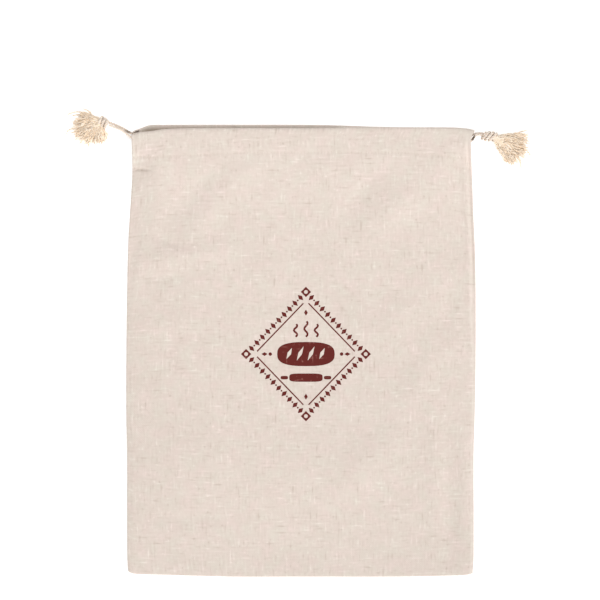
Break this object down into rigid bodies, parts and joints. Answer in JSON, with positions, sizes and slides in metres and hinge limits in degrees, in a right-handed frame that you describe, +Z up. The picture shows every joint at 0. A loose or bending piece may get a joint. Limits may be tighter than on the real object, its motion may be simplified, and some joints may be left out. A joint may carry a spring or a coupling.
{
  "type": "linen bread bag",
  "caption": "Flat linen drawstring bag lying on its back, open at the mouth, with casings, drawcords and knotted tassels.",
  "frame": {"origin": "middle of the bag body's own box, on the surface that it lies on", "axes": "+Z up, out of the front panel; +Y towards the mouth; +X to the right as seen from above"},
  "size_m": [0.4062, 0.4095, 0.0139],
  "materials": {
    "linen": "washed plain-weave linen, natural ecru",
    "cord": "twisted unbleached cotton cord",
    "tassel": "frayed unbleached cotton yarn"
  },
  "bodies": {
    "root": {"bag_body": "linen", "drawcord_left": "cord", "drawcord_right": "cord", "tassel_left": "tassel", "tassel_right": "tassel"}
  },
  "joints": []
}
